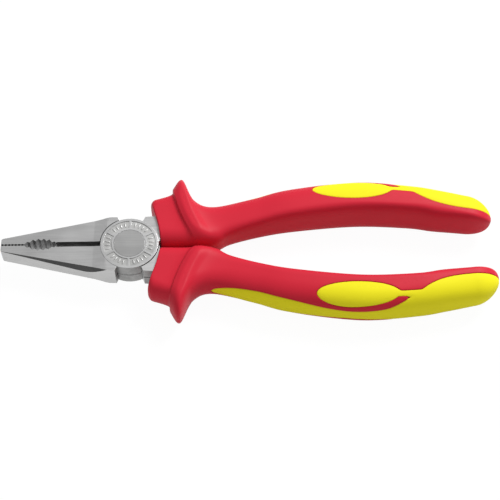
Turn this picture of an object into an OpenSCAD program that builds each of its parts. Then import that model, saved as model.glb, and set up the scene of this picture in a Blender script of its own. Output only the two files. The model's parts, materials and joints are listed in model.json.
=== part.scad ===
// Insulated combination pliers, closed, lying flat with the handles toward +X.
// Two equal forged halves are lapped on one rivet. Each half carries one jaw and the
// handle on the opposite side. All sizes are in millimetres and +Z is up.

/* [Head] */
// Distance from the pivot to the jaw tips
jaw_length = 46.5; // [42:0.5:54]
// Width across both jaws at the tip
tip_width = 5.4; // [4:0.1:8]
// Width across both jaws beside the joint
head_width = 22.4; // [21.6:0.1:25]
// Thickness of the head at the joint
head_thickness = 9.8; // [9:0.1:10.8]
// Thickness of the jaws where they meet the joint boss
root_thickness = 8.7; // [8:0.1:9]
// Thickness of the jaws at the tip
tip_thickness = 6.8; // [5:0.1:8]
// Distance from the pivot at which the jaws start to get thinner
taper_start = 13; // [12:0.5:16]
// Length of the ramp from the jaw face up to the joint boss
ramp_length = 4.5; // [3:0.1:6]
// Width of the ground relief along the outer jaw edges, where it is widest
relief_width = 1; // [0.5:0.1:1.4]
// Height of the ground relief along the outer jaw edges, where it is widest
relief_height = 2.3; // [1.2:0.1:2.8]

/* [Jaws] */
// Gap left between the closed jaws
jaw_gap = 0.3; // [0.1:0.05:0.5]
// Length of the flat gripping zone behind the tip
flat_length = 8.4; // [6:0.2:10]
// Pitch of the fine teeth on the flat gripping zone
flat_pitch = 1.2; // [0.8:0.1:2]
// Depth of the fine teeth on the flat gripping zone
flat_tooth = 0.25; // [0.1:0.05:0.5]
// Length of the oval pipe grip
pipe_length = 12; // [9:0.2:14]
// Height of the oval pipe grip between the two tooth roots
pipe_height = 5; // [3.6:0.1:6]
// Number of coarse teeth in each half of the pipe grip
pipe_teeth = 6; // [4:1:8]
// Depth of the coarse teeth
pipe_tooth = 0.8; // [0.3:0.1:1.2]
// Width of the slot above the side cutters
slot_width = 2; // [1.2:0.1:3]
// Height of the bevel that leads to each cutting edge
cutter_bevel = 2; // [1:0.1:3]
// Gap left between the closed cutting edges
cutter_gap = 0.1; // [0.05:0.01:0.3]

/* [Joint] */
// Diameter of the joint disc on each half
joint_diameter = 21; // [19:0.1:21.4]
// How far the joint disc stands above the jaws and shoulders
disc_step = 0.15; // [0.1:0.05:0.3]
// Gap between a joint disc and the recess it turns in
joint_clearance = 0.3; // [0.2:0.05:0.5]
// Gap between the two lapped faces
lap_gap = 0.06; // [0.02:0.02:0.2]
// Angle from the cross line of the joint to the stop face beside the jaw
jaw_stop = 23; // [22.5:0.5:28]
// Angle from the cross line of the joint to the stop face beside the handle
handle_stop = 25.5; // [25:0.5:28]
// Inner diameter of the recessed ring on the joint face
ring_inner = 12.8; // [12:0.2:15]
// Outer diameter of the recessed ring on the joint face
ring_outer = 19; // [17:0.2:19.6]
// Depth of the recessed ring
ring_depth = 0.25; // [0.1:0.05:0.5]
// Number of plain ribs that divide the ring
ring_ribs = 6; // [4:1:12]
// Width of those ribs
rib_width = 0.7; // [0.4:0.1:1.2]

/* [Rivet] */
// Diameter of the rivet shank
rivet_diameter = 8; // [6:0.1:9]
// Diameter of the countersunk rivet heads
rivet_head = 11.4; // [10:0.1:11.8]
// Depth of the countersunk rivet heads
rivet_depth = 1.7; // [1.2:0.1:2.4]
// Running clearance on the radius between the rivet and the front half
rivet_clearance = 0.05; // [0.02:0.01:0.1]

/* [Tang] */
// Height of the handle shoulder above the centre line
shoulder_reach = 11.4; // [10.9:0.1:12.4]
// Thickness of the tang inside the grip
tang_thickness = 6; // [4.5:0.1:7]
// Width of the tang where it enters the grip
tang_root = 9.2; // [8:0.1:10]
// Width of the tang along the grip
tang_width = 6.6; // [5:0.1:7.2]
// Width of the tang at its end
tang_tip = 5; // [4:0.1:6]
// Distance from the tang end to the handle end
tang_short = 14; // [10:0.5:24]
// Wall of the hard liner around the tang
liner_wall = 1.2; // [0.8:0.1:1.4]

/* [Grip collar and guard] */
// Distance from the pivot to the collar at the centre line
collar_start = 11.2; // [11.1:0.1:12.5]
// How far the outer corner of the collar leads its inner corner
collar_lead = 4.8; // [3:0.1:5.5]
// Length of the collar along the centre line
collar_length = 10.4; // [9:0.1:11.5]
// How far the middle of the collar front is swept toward the handle
collar_sweep = 0.8; // [0:0.1:1.5]
// Reach of the collar from the centre line, at its front edge
collar_reach = 19.3; // [18:0.1:20.5]
// Reach of the collar from the centre line, at the foot of the guard
collar_foot = 22; // [21:0.1:23.5]
// Thickness of the collar
collar_thickness = 12.4; // [12:0.1:13.6]
// Gap between the two grips where they meet on the centre line
seam_gap = 0.8; // [0.6:0.05:1.4]
// Reach of the hand guard from the centre line
guard_reach = 28.7; // [27:0.1:33]
// Thickness of the hand guard
guard_thickness = 16.8; // [16.6:0.1:18.4]
// How far the inner end of the guard trails its tip
guard_trail = 9; // [8:0.1:12]
// How far the middle of the guard crest is swept toward the jaws
guard_sweep = 2.2; // [0:0.1:3]

/* [Grip body] */
// Distance from the pivot to the handle end
handle_length = 133.5; // [127:0.5:146]
// Distance from the pivot to the narrow throat behind the guard
throat_x = 34.6; // [33.5:0.1:37]
// Distance from the centre line to the inner edge at the throat
throat_inner = 3.7; // [3.4:0.1:4.4]
// Width of the grip at the throat
throat_width = 13.5; // [13:0.1:14.6]
// Thickness of the grip at the throat
throat_thickness = 12.2; // [11.8:0.1:14]
// Distance from the centre line to the inner edge halfway from throat to bow
rise_inner = 10.9; // [10.2:0.1:11.6]
// Width of the grip halfway from throat to bow
rise_width = 13.5; // [13:0.1:14.6]
// Thickness of the grip halfway from throat to bow
rise_thickness = 15.2; // [14.4:0.1:16.4]
// Distance from the handle end to the widest place of the handles
bow_back = 50.5; // [47:0.5:54]
// Distance from the centre line to the inner edge at the widest place
bow_inner = 13.5; // [12.8:0.1:14.2]
// Width of the grip at the widest place
bow_width = 14; // [13.4:0.1:15]
// Thickness of the grip at the widest place
bow_thickness = 16.6; // [16.6:0.1:18.4]
// Distance from the centre line to the inner edge halfway from bow to tail
fall_inner = 13; // [12.4:0.1:13.6]
// Width of the grip halfway from bow to tail
fall_width = 13; // [12.6:0.1:14]
// Distance from the centre line to the inner edge at the tail
tail_inner = 10.3; // [9.7:0.1:11]
// Width of the grip at the tail
tail_width = 11.8; // [11.4:0.1:13]
// Thickness of the grip at the tail
tail_thickness = 14.4; // [13:0.1:16]
// Length of the rounded end
tail_length = 10; // [8:0.1:12]
// How far the rounded end turns toward the centre line
tail_turn = 3.6; // [2:0.1:4]
// Thickness that is kept where the grips lie on a table
rest_thickness = 16.4; // [15.6:0.1:16.4]
// Squareness of the inner half of the grip section, where 2 is an ellipse
squareness = 4; // [3:0.1:5]
// Squareness of the outer half of the grip section, where 2 is an ellipse
outer_squareness = 2.5; // [2:0.1:2.8]

/* [Inlay] */
// Depth of the soft inlay in the grip
inlay_depth = 0.55; // [0.4:0.05:0.6]
// Gap around the inlay in its pocket
inlay_gap = 0.01; // [0.01:0.01:0.05]
// Length of the oval pad
oval_length = 29.4; // [24:0.2:31]
// Width of the oval pad, seen from above
oval_width = 8.9; // [7:0.1:9.4]
// Distance from the inner grip edge to the middle of the oval pad
oval_inset = 8.5; // [8:0.1:9]
// Width of the neck between the oval pad and the rear pad
neck_width = 2.5; // [1.8:0.1:4]
// How much narrower the neck is beside the oval pad
neck_taper = 0.8; // [0:0.1:1.2]
// Distance from the handle end to the front of the rear pad
pad_length = 29.4; // [27:0.2:31]
// Distance from the centre line to the inner border of the rear pad at the handle end
pad_border = 12.8; // [12:0.1:14]
// Length over which the rear pad widens
pad_flare = 9.3; // [6:0.1:12]
// Distance from the pivot to the front end of the outer strip
strip_start = 29.6; // [29:0.1:34]
// Height of the outer strip
strip_height = 9.4; // [7:0.1:10]
// Height of the outer strip beside the oval pad
strip_waist = 5.3; // [4:0.1:6.4]
// Height of the outer strip where it meets the rear pad
strip_flare = 13.8; // [12:0.1:14.6]

/* [Hidden] */

STEEL = [0.72, 0.73, 0.74];
RED = [0.80, 0.12, 0.15];
YELLOW = [0.96, 0.88, 0.06];
NATURAL = [0.86, 0.84, 0.78];
RING_POINTS = 28;
SPAN_STEPS = 4;

half_t = head_thickness / 2;
face_z = half_t - disc_step;
disc_r = joint_diameter / 2;
recess_r = disc_r + joint_clearance;
centre_x = (handle_length - jaw_length) / 2;
rest_half = rest_thickness / 2;
tail_x = handle_length - tail_length;
bow_x = handle_length - bow_back;
rise_x = (throat_x + bow_x) / 2;
fall_x = (bow_x + tail_x) / 2;
foot_x = collar_start + collar_length;
crest_in_x = (foot_x + throat_x) / 2 - 0.5;
crest_out_x = crest_in_x - guard_trail;
throat_outer = throat_inner + throat_width;
bow_outer = bow_inner + bow_width;
tang_end = handle_length - tang_short;

// Smooth curve through a list of rows of numbers, at row number t
function between(a, b, c, d, u) =
  0.5 * (2 * b + (c - a) * u + (2 * a - 5 * b + 4 * c - d) * u * u + (3 * b - a - 3 * c + d) * u * u * u);
function curve(list, t) =
  let (n = len(list), i = min(floor(t), n - 2), b = list[i], c = list[i + 1])
  between(i > 0 ? list[i - 1] : 2 * b - c, b, c, i + 2 < n ? list[i + 2] : 2 * c - b, t - i);
function steps(list, n) = [for (k = [0 : (len(list) - 1) * n]) curve(list, k / n)];

// Sections of the upper grip from the collar to the tail. Each row is inner x, inner y, outer x, outer y,
// half thickness, depth of the outer rounding, squareness of the inner half and sweep of the middle.
grip_rows = [
  [collar_start, seam_gap / 2, collar_start - collar_lead, collar_reach, collar_thickness / 2, 5, 0.62 * squareness,
   collar_sweep],
  [foot_x, seam_gap / 2, foot_x - collar_lead - 2.6, collar_foot, collar_thickness / 2, 5, 0.62 * squareness,
   -guard_sweep * 0.3],
  [(foot_x + crest_in_x) / 2, seam_gap / 2, crest_out_x - 3.4, guard_reach - 3.9,
   (collar_thickness + guard_thickness) / 4 + 0.2, 8, 0.75 * squareness, -guard_sweep * 0.7],
  [crest_in_x, seam_gap / 2 + 0.3, crest_out_x, guard_reach, guard_thickness / 2, 11, 0.75 * squareness, -guard_sweep],
  [throat_x - 2.4, throat_inner - 2, throat_x - 11.8, throat_outer + 2.8, throat_thickness / 2 + 0.5, 9,
   0.85 * squareness, -guard_sweep * 0.5],
  [throat_x + 2, throat_inner + 0.7, throat_x - 4.6, throat_outer, throat_thickness / 2, 8, squareness, 0],
  [rise_x - 12, (throat_inner + rise_inner) / 2 + 0.6, rise_x - 14, (throat_outer + rise_inner + rise_width) / 2,
   (throat_thickness + rise_thickness) / 4 - 0.2, 8.5, squareness, 0],
  [rise_x + 1, rise_inner, rise_x - 1, rise_inner + rise_width, rise_thickness / 2, 9, squareness, 0],
  [bow_x, bow_inner, bow_x, bow_outer, bow_thickness / 2, 9, squareness, 0],
  [fall_x - 0.5, fall_inner, fall_x + 0.5, fall_inner + fall_width, bow_thickness / 2 - 0.1, 9, squareness, 0],
  [(fall_x + tail_x) / 2 - 1, (fall_inner + tail_inner) / 2 - 0.4, (fall_x + tail_x) / 2 + 1,
   (fall_inner + fall_width + tail_inner + tail_width) / 2, (bow_thickness + tail_thickness) / 4 + 0.1, 8,
   squareness, 0],
  [tail_x - 0.8, tail_inner, tail_x + 0.8, tail_inner + tail_width, tail_thickness / 2, 9, squareness, 0]
];
grip_stations = steps(grip_rows, SPAN_STEPS);

// The end of the grip is rounded off over the tail length
end_steps = [0.3, 0.54, 0.73, 0.87, 0.955, 1];
function end_share(s) = max(0.16, sqrt(1 - s * s));

// One section, set in from the surface by d. The inner edge is rounded over a depth of at most the half
// thickness.
function power(v, e) = sign(v) * pow(abs(v), e);
function section(row, d) =
  let (w = norm([row[2] - row[0], row[3] - row[1]]) - 2 * d,
       dir = [row[2] - row[0], row[3] - row[1]] / (w + 2 * d),
       b = row[4] - d,
       rim = min(row[5], w - 1),
       flat = w - rim,
       heel = min(flat, b),
       n = row[6],
       span = w + 2 * d)
  [for (k = [0 : RING_POINTS - 1])
    let (c = cos(360 * k / RING_POINTS), s = sin(360 * k / RING_POINTS),
         q = c >= 0 ? flat + rim * pow(c, 2 / outer_squareness) : flat * (1 + power(c, 2 / n)),
         z = c >= 0 ? b * power(s, 2 / outer_squareness) : sign(s) * b * pow(1 - pow(max(0, 1 - q / heel), n), 1 / n))
    [row[0] + dir[0] * (q + d) + 4 * row[7] * (q + d) * (span - q - d) / pow(span, 2), row[1] + dir[1] * (q + d), z]];
function end_section(s, d) =
  let (row = grip_rows[len(grip_rows) - 1],
       f = end_share(s),
       m = [(row[0] + row[2]) / 2, (row[1] + row[3]) / 2 - tail_turn * s * (0.4 + 0.6 * s)],
       h = [(row[2] - row[0]) / 2, (row[3] - row[1]) / 2] * f,
       x = row[2] + (handle_length - d - row[2]) * s,
       lag = (row[2] - row[0]) / 2)
  [for (p = section([x - lag - h[0], m[1] - h[1], x - lag + h[0], m[1] + h[1], row[4] * f, row[5] * f, row[6], 0],
                    d * f))
    [s == 1 ? handle_length - d : min(p[0] + lag * s, handle_length - d), p[1], p[2]]];
function grip_rings(d) = concat(
  [for (row = grip_stations) section(row, d)],
  [for (s = end_steps) end_section(s, d)]);

// Flat cover of n corners, and a cover that is folded along the middle of a section
function flat_cover(n) = [[for (i = [0 : n - 1]) i]];
function folded_cover(n) = concat(
  [[0, 1, n - 1]],
  [for (k = [1 : n / 2 - 2]) [k, k + 1, n - k - 1, n - k]],
  [[n / 2 - 1, n / 2, n / 2 + 1]]);

// Solid through a list of sections, closed in front by the given cover
module skin(rings, cover) {
  n = len(rings[0]);
  m = len(rings);
  polyhedron(
    points = [for (r = rings, p = r) p],
    faces = concat(
      cover,
      [for (k = [0 : m - 2], i = [0 : n - 1], h = [0, 1])
        let (a = k * n + i, b = k * n + (i + 1) % n)
        h == 0 ? [a, a + n, b] : [b, a + n, b + n]],
      [[for (i = [n - 1 : -1 : 0]) (m - 1) * n + i]]));
}

// Middle line of the steel inside the grip. Each row is x, y and width.
tang_rows = [
  [collar_start + 0.6, 6.8, 10],
  [foot_x, 7.3, tang_root],
  [throat_x, throat_inner + throat_width / 2, tang_width],
  [rise_x, rise_inner + rise_width / 2, tang_width],
  [bow_x, bow_inner + bow_width / 2, tang_width],
  [fall_x, fall_inner + fall_width / 2, (tang_width + tang_tip) / 2],
  [tang_end, (fall_inner + fall_width / 2) / 4 + (tail_inner + tail_width / 2) * 3 / 4, tang_tip]
];
tang_line = steps(tang_rows, 5);
liner_line = concat([curve(tang_rows, 0.9)], [for (r = steps(tang_rows, 7)) if (r[0] > foot_x + 0.5) r]);

module tang() {
  translate([0, 0, -tang_thickness / 2])
    linear_extrude(tang_thickness)
      polygon(concat(
        [for (r = tang_line) [r[0], r[1] + r[2] / 2]],
        [for (k = [len(tang_line) - 1 : -1 : 0]) [tang_line[k][0], tang_line[k][1] - tang_line[k][2] / 2]]));
}

// Shoulder of the handle, flush with the jaws
module shoulder() {
  corner = shoulder_reach * tan(handle_stop);
  translate([0, 0, -face_z])
    linear_extrude(2 * face_z)
      polygon([[corner * 0.5, shoulder_reach * 0.5], [corner, shoulder_reach],
               [collar_start + 0.6, 11.8], [collar_start + 1.6, 11.8],
               [collar_start + 1.6, 4], [collar_start - 0.4, 4], [collar_start - 0.15, 1.2],
               [collar_start - 0.6, 0.8], [corner, 0.8]]);
}

// Edge of the lower jaw that faces the other jaw, as x and depth below the centre line
pipe_front = -jaw_length + flat_length;
pipe_back = pipe_front + pipe_length;
flat_count = floor(flat_length / flat_pitch);
function pipe_depth(u) = (pipe_height / 2) * pow(max(0, 1 - pow(2 * u - 1, 2)), 0.6);
jaw_edge = concat(
  [for (k = [0 : flat_count - 1], s = [0, 1])
    [-jaw_length + (k + s / 2) * flat_pitch, jaw_gap / 2 + s * flat_tooth]],
  [[pipe_front, jaw_gap / 2]],
  [for (k = [1 : 2 * pipe_teeth - 1])
    let (u = k / (2 * pipe_teeth))
    [pipe_front + u * pipe_length, max(jaw_gap / 2, pipe_depth(u) - (k % 2 == 0 ? pipe_tooth : 0))]],
  [[pipe_back, jaw_gap / 2], [pipe_back + 0.6, cutter_gap / 2], [-2, cutter_gap / 2]]);

// Outer edge of the lower jaw: straight taper, then a curve into the stop corner
jaw_corner = [-head_width / 2 * tan(jaw_stop), -head_width / 2];
jaw_bend = [-taper_start - 3, -head_width / 2 + 1];
jaw_outer = [for (u = [0 : 0.2 : 1])
  pow(1 - u, 2) * jaw_bend + 2 * u * (1 - u) * [-taper_start + 2, -head_width / 2] + u * u * jaw_corner];

module jaw() {
  difference() {
    intersection() {
      translate([0, 0, -half_t])
        linear_extrude(head_thickness)
          polygon(concat(
            [for (p = jaw_edge) [p[0], -p[1]]],
            [jaw_corner * 0.5],
            [for (k = [len(jaw_outer) - 1 : -1 : 0]) jaw_outer[k]],
            [[-jaw_length + 0.5, -tip_width / 2], [-jaw_length, -tip_width / 2 + 0.5]]));
      rotate([90, 0, 0])
        linear_extrude(head_width)
          polygon([[-jaw_length, tip_thickness / 2], [-taper_start, root_thickness / 2],
                   [-taper_start + ramp_length, face_z], [0, face_z], [0, -face_z],
                   [-taper_start + ramp_length, -face_z], [-taper_start, -root_thickness / 2],
                   [-jaw_length, -tip_thickness / 2]]);
    }
    for (turn = [0, 1])
      mirror([0, 0, turn]) {
        cutter_room();
        edge_relief();
      }
  }
}

// Slot that leads down to the cutting edge at half thickness
module cutter_room() {
  translate([pipe_back - 0.4, 0, 0])
    rotate([90, 0, 90])
      linear_extrude(-pipe_back + 0.4 - disc_r)
        polygon([[1, cutter_gap], [-cutter_gap / 2, cutter_gap], [-slot_width / 2, cutter_bevel],
                 [-slot_width / 2, head_thickness], [1, head_thickness]]);
}

// Ground relief on the outer edge of the jaw: a narrow line at the tip, widest before the joint, then run out
module edge_relief() {
  tip = [-jaw_length - 0.5, -tip_width / 2, tip_thickness / 2];
  wide = [jaw_bend[0] + 3.2, jaw_bend[1] - 0.5, root_thickness / 2];
  polyhedron(
    points = [tip + [0, relief_width * 0.3, 0.05],
              tip + [0, -0.2, -relief_height * 0.3],
              tip + [0, -4, 4],
              wide + [0, relief_width, 0.05],
              wide + [0, -0.2, -relief_height],
              wide + [0, -4, 4],
              [jaw_corner[0] - 2, jaw_corner[1] - 0.1, face_z + 0.05]],
    faces = [[1, 0, 2], [4, 3, 0], [4, 0, 1], [3, 5, 2], [3, 2, 0], [5, 4, 1], [5, 1, 2],
             [3, 4, 6], [5, 3, 6], [4, 5, 6]]);
}

// Plain ring with ribs on the joint face
module ring_room() {
  difference() {
    translate([0, 0, half_t - ring_depth])
      cylinder(d = ring_outer, h = ring_depth + 1, $fn = 96);
    translate([0, 0, half_t - ring_depth - 1])
      cylinder(d = ring_inner, h = ring_depth + 3, $fn = 96);
    for (k = [0 : ring_ribs - 1])
      rotate(360 * (k + 0.5) / ring_ribs)
        translate([ring_inner / 2 - 0.5, -rib_width / 2, half_t - ring_depth - 1])
          cube([(ring_outer - ring_inner) / 2 + 1, rib_width, ring_depth + 3]);
  }
}

// One forged half: jaw below the centre line, handle above it, disc in the upper layer
module half_lever(play) {
  difference() {
    union() {
      difference() {
        union() {
          jaw();
          shoulder();
        }
        translate([0, 0, -head_thickness])
          cylinder(r = recess_r, h = head_thickness + lap_gap / 2, $fn = 96);
      }
      translate([0, 0, lap_gap / 2])
        cylinder(r = disc_r, h = half_t - lap_gap / 2, $fn = 96);
      tang();
    }
    translate([0, 0, -head_thickness])
      cylinder(d = rivet_diameter + 2 * play, h = 2 * head_thickness, $fn = 96);
    translate([0, 0, half_t - rivet_depth - play])
      cylinder(d1 = rivet_diameter + 2 * play, d2 = rivet_head + 2 * play, h = rivet_depth, $fn = 96);
    translate([0, 0, half_t - play])
      cylinder(d = rivet_head + 2 * play, h = 1, $fn = 96);
    ring_room();
  }
}

module place() {
  translate([-centre_x, 0, rest_half])
    children();
}

module mirror_half() {
  rotate([180, 0, 0])
    children();
}

module front_lever() {
  color(STEEL)
    place()
      half_lever(rivet_clearance);
}

module rear_lever() {
  color(STEEL)
    place()
      mirror_half()
        half_lever(0);
}

module pivot_rivet() {
  color(STEEL)
    place()
      union() {
        translate([0, 0, -half_t])
          cylinder(d = rivet_diameter, h = head_thickness, $fn = 96);
        for (side = [0, 180])
          rotate([side, 0, 0])
            translate([0, 0, half_t - rivet_depth])
              cylinder(d1 = rivet_diameter, d2 = rivet_head, h = rivet_depth, $fn = 96);
      }
}

// Eight-sided section of the liner around the tang
function liner_ring(row, grow) =
  let (w = row[2] / 2 + liner_wall + grow, t = tang_thickness / 2 + liner_wall + grow, c = liner_wall)
  [for (p = [[w, c - t], [w, t - c], [w - c, t], [c - w, t], [-w, t - c], [-w, c - t], [c - w, -t], [w - c, -t]])
    [row[0], row[1] + p[0], p[1]]];
function liner_rings(grow) = concat(
  [for (r = liner_line) liner_ring(r, grow)],
  [liner_ring([tang_end + liner_wall + grow, liner_line[len(liner_line) - 1][1], tang_tip], grow)]);

module liner() {
  difference() {
    skin(liner_rings(0), flat_cover(8));
    tang();
  }
}

// Places where the soft inlay shows, seen from above and from the side, grown by g
pad_front = handle_length - pad_length;
oval_x = bow_x - 1.5;
oval_y = bow_inner + oval_inset;
function pad_edge(x) =
  pad_border + (oval_y - neck_width / 2 - pad_border) * exp((pad_front - x) / pad_flare);
strip_rows = [
  [strip_start - 2, 0], [strip_start, 0.2], [strip_start + 1.8, strip_height * 0.19],
  [(strip_start + rise_x) / 2 - 4, strip_height * 0.41],
  [rise_x - 3, strip_height / 2], [oval_x - 11, strip_waist / 2 + 0.55], [oval_x - 2, strip_waist / 2],
  [oval_x + 9, strip_waist / 2 + 1], [pad_front - 8.9, strip_flare / 2 - 1.75], [pad_front - 4.1, strip_flare / 2],
  [pad_front + 0.5, strip_flare / 2 + 0.6]];
strip_line = [for (r = steps(strip_rows, 4)) if (r[0] >= strip_start) r];

module inlay_zone(g) {
  for (side = [0, 180])
    rotate([side, 0, 0])
      translate([oval_x, side == 0 ? oval_y : -oval_y, strip_waist / 2 + 1 - g])
        scale([oval_length + 2 * g, oval_width + 2 * g, 1])
          cylinder(d = 1, h = bow_thickness, $fn = 64);
  translate([0, 0, -head_thickness * 2])
    linear_extrude(head_thickness * 4)
      offset(delta = g)
        polygon(concat(
          [[oval_x + oval_length / 2 - 2, oval_y + neck_width / 2],
           [oval_x + oval_length / 2 - 2, oval_y - neck_width / 2 + neck_taper]],
          [for (x = [pad_front : 1.7 : handle_length + 6]) [x, pad_edge(x)]],
          [[handle_length + 6, bow_outer + 10], [pad_front, bow_outer + 10],
           [pad_front, oval_y + neck_width / 2]]));
  translate([0, (bow_inner + throat_outer) / 2 + bow_outer, 0])
    rotate([90, 0, 0])
      linear_extrude(bow_outer)
        offset(delta = g)
          for (k = [0 : len(strip_line) - 2])
            hull()
              strip_piece(strip_line[k], strip_line[k + 1]);
}

// Piece of the outer strip between two of its rows, seen from the side
module strip_piece(a, b) {
  polygon([[a[0], -a[1]], [b[0], -b[1]], [b[0], b[1]], [a[0], a[1]]]);
}

// Slab that keeps the lands on which the grips lie
module rest_slab() {
  translate([-handle_length, -handle_length, -rest_half])
    cube([3 * handle_length, 2 * handle_length, rest_thickness]);
}

module grip() {
  difference() {
    intersection() {
      skin(grip_rings(0), folded_cover(RING_POINTS));
      rest_slab();
    }
    skin(liner_rings(0), flat_cover(8));
    tang();
    shoulder();
    difference() {
      inlay_zone(inlay_gap);
      skin(grip_rings(inlay_depth + inlay_gap), folded_cover(RING_POINTS));
    }
  }
}

module inlay() {
  difference() {
    intersection() {
      skin(grip_rings(0), folded_cover(RING_POINTS));
      rest_slab();
      inlay_zone(0);
    }
    skin(grip_rings(inlay_depth), folded_cover(RING_POINTS));
  }
}

module upper_liner() {
  color(NATURAL)
    place()
      liner();
}

module lower_liner() {
  color(NATURAL)
    place()
      mirror_half()
        liner();
}

module upper_grip() {
  color(RED)
    place()
      grip();
}

module lower_grip() {
  color(RED)
    place()
      mirror_half()
        grip();
}

module upper_inlay() {
  color(YELLOW)
    place()
      inlay();
}

module lower_inlay() {
  color(YELLOW)
    place()
      mirror_half()
        inlay();
}

front_lever();
rear_lever();
pivot_rivet();
upper_liner();
lower_liner();
upper_grip();
lower_grip();
upper_inlay();
lower_inlay();
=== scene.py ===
# %% [markdown]
# # Insulated combination pliers
# Two forged steel halves cross at a riveted lap joint. Each tang carries a red moulded grip with a
# collar and a hand guard, and a softer yellow zone is moulded into the red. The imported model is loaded
# first: it gives the box, the hinge and the halves, and the sizes written below are the ones it has.

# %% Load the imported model
import json
import math

import bmesh
import bpy
import numpy as np
from mathutils import Matrix, Vector
from mathutils.kdtree import KDTree


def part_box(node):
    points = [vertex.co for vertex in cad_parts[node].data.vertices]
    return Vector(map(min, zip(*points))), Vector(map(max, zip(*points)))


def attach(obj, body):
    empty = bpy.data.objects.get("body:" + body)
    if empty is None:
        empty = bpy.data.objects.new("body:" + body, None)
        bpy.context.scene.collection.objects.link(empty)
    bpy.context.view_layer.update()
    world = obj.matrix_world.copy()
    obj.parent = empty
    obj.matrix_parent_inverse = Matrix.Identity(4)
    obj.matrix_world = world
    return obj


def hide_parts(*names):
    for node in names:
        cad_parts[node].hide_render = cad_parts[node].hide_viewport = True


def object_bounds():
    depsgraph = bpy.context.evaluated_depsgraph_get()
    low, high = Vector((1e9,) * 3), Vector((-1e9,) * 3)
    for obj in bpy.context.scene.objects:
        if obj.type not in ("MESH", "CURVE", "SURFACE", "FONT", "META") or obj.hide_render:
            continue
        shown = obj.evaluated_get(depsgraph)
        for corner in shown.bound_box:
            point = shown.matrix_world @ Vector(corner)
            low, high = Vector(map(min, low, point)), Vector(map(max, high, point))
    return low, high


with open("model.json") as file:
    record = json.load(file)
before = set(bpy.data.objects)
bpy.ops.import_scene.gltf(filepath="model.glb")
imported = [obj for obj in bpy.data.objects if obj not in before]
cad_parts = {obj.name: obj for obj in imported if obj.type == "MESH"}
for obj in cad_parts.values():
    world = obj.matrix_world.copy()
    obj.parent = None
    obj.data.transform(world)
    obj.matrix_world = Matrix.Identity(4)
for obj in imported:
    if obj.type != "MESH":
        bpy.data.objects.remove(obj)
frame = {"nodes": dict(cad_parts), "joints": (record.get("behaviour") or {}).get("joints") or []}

MM = 0.001
cad_low, cad_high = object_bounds()
pivot = Vector(frame["joints"][0]["pos_m"])
print("nodes:", ", ".join(sorted(frame["nodes"])))
print("box in mm:", [round(v / MM, 1) for v in cad_high - cad_low])

# %% [markdown]
# ## Camera
# The photograph looks down on the tool from its long side, where the lower handle lies, about 59
# degrees above the table and with a long lens. A camera could be aimed by a constraint, but a fixed
# matrix says exactly where it stands: back from the middle of the tool along the view line, then
# rolled a little.

# %% Place the camera
VIEW_RISE = math.radians(59.0)
VIEW_TURN = math.radians(2.0)
VIEW_ROLL = math.radians(1.71)
VIEW_DISTANCE = 430 * MM
IMAGE_WIDTH = 500
PIXELS_PER_MM = 2.735
SENSOR = 36.0
AIM_BEHIND_RIVET = 43.7 * MM

aim = Vector((pivot.x + AIM_BEHIND_RIVET, 0, pivot.z))
toward = Vector((-math.cos(VIEW_RISE) * math.sin(VIEW_TURN),
                 -math.cos(VIEW_RISE) * math.cos(VIEW_TURN), math.sin(VIEW_RISE)))
camera = bpy.data.objects.new("camera", bpy.data.cameras.new("camera"))
bpy.context.scene.collection.objects.link(camera)
bpy.context.scene.camera = camera
camera.data.sensor_width = SENSOR
camera.data.lens = PIXELS_PER_MM * VIEW_DISTANCE / MM / IMAGE_WIDTH * SENSOR
camera.data.clip_start = 0.01
facing = (-toward).to_track_quat("-Z", "Y").to_matrix().to_4x4()
camera.matrix_world = (Matrix.Translation(aim + toward * VIEW_DISTANCE) @ facing
                       @ Matrix.Rotation(VIEW_ROLL, 4, "Z"))
print("lens in mm:", round(camera.data.lens, 1))

# %% [markdown]
# ## Node helper
# Materials and Geometry Nodes are both node trees. One short helper adds a node, sets its options
# and fills its inputs: a value is written into the socket, and another node's output is linked to it.


# %% Helper that adds a node
def put(tree, kind, inputs=None, **options):
    node = tree.nodes.new(kind)
    for name, value in options.items():
        setattr(node, name, value)
    for key, value in (inputs or {}).items():
        if isinstance(value, bpy.types.NodeSocket):
            tree.links.new(value, node.inputs[key])
        else:
            node.inputs[key].default_value = value
    return node


def calc(tree, operation, *values):
    return put(tree, "ShaderNodeMath", dict(enumerate(values)), operation=operation).outputs[0]


def open_group(name, kind, inputs, outputs):
    tree = bpy.data.node_groups.new(name, kind)
    for label, socket, value in inputs:
        made = tree.interface.new_socket(label, in_out="INPUT", socket_type=socket)
        if value is not None:
            made.default_value = value
    for label, socket in outputs:
        tree.interface.new_socket(label, in_out="OUTPUT", socket_type=socket)
    return tree, put(tree, "NodeGroupInput").outputs, put(tree, "NodeGroupOutput")


print("helpers ready")

# %% [markdown]
# ## Studio
# The tool lies on a plain white table under a soft lamp that stands behind it and to the right, so
# top faces are bright and the sides that face us live on light from the sky and the table. A lamp
# straight above or behind would be simpler, but the flat steel would mirror it. The table shows as
# white where the camera or a reflection sees it, and keeps a part of the soft shadow.

# %% Table, lamp and surroundings
TABLE_HALF = 1.5
TABLE_DROP = 0.02 * MM
KEY_PLACE = (0.42, 0.47, 0.64)
KEY_SIZE = 0.40
KEY_WATTS = 7.8
SKY_LEVEL = 0.46
SHADOW_SHARE = 0.06
TABLE_SEEN, TABLE_BOUNCE = 0.97, 0.78
TABLE_GLOW = 1.02


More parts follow.
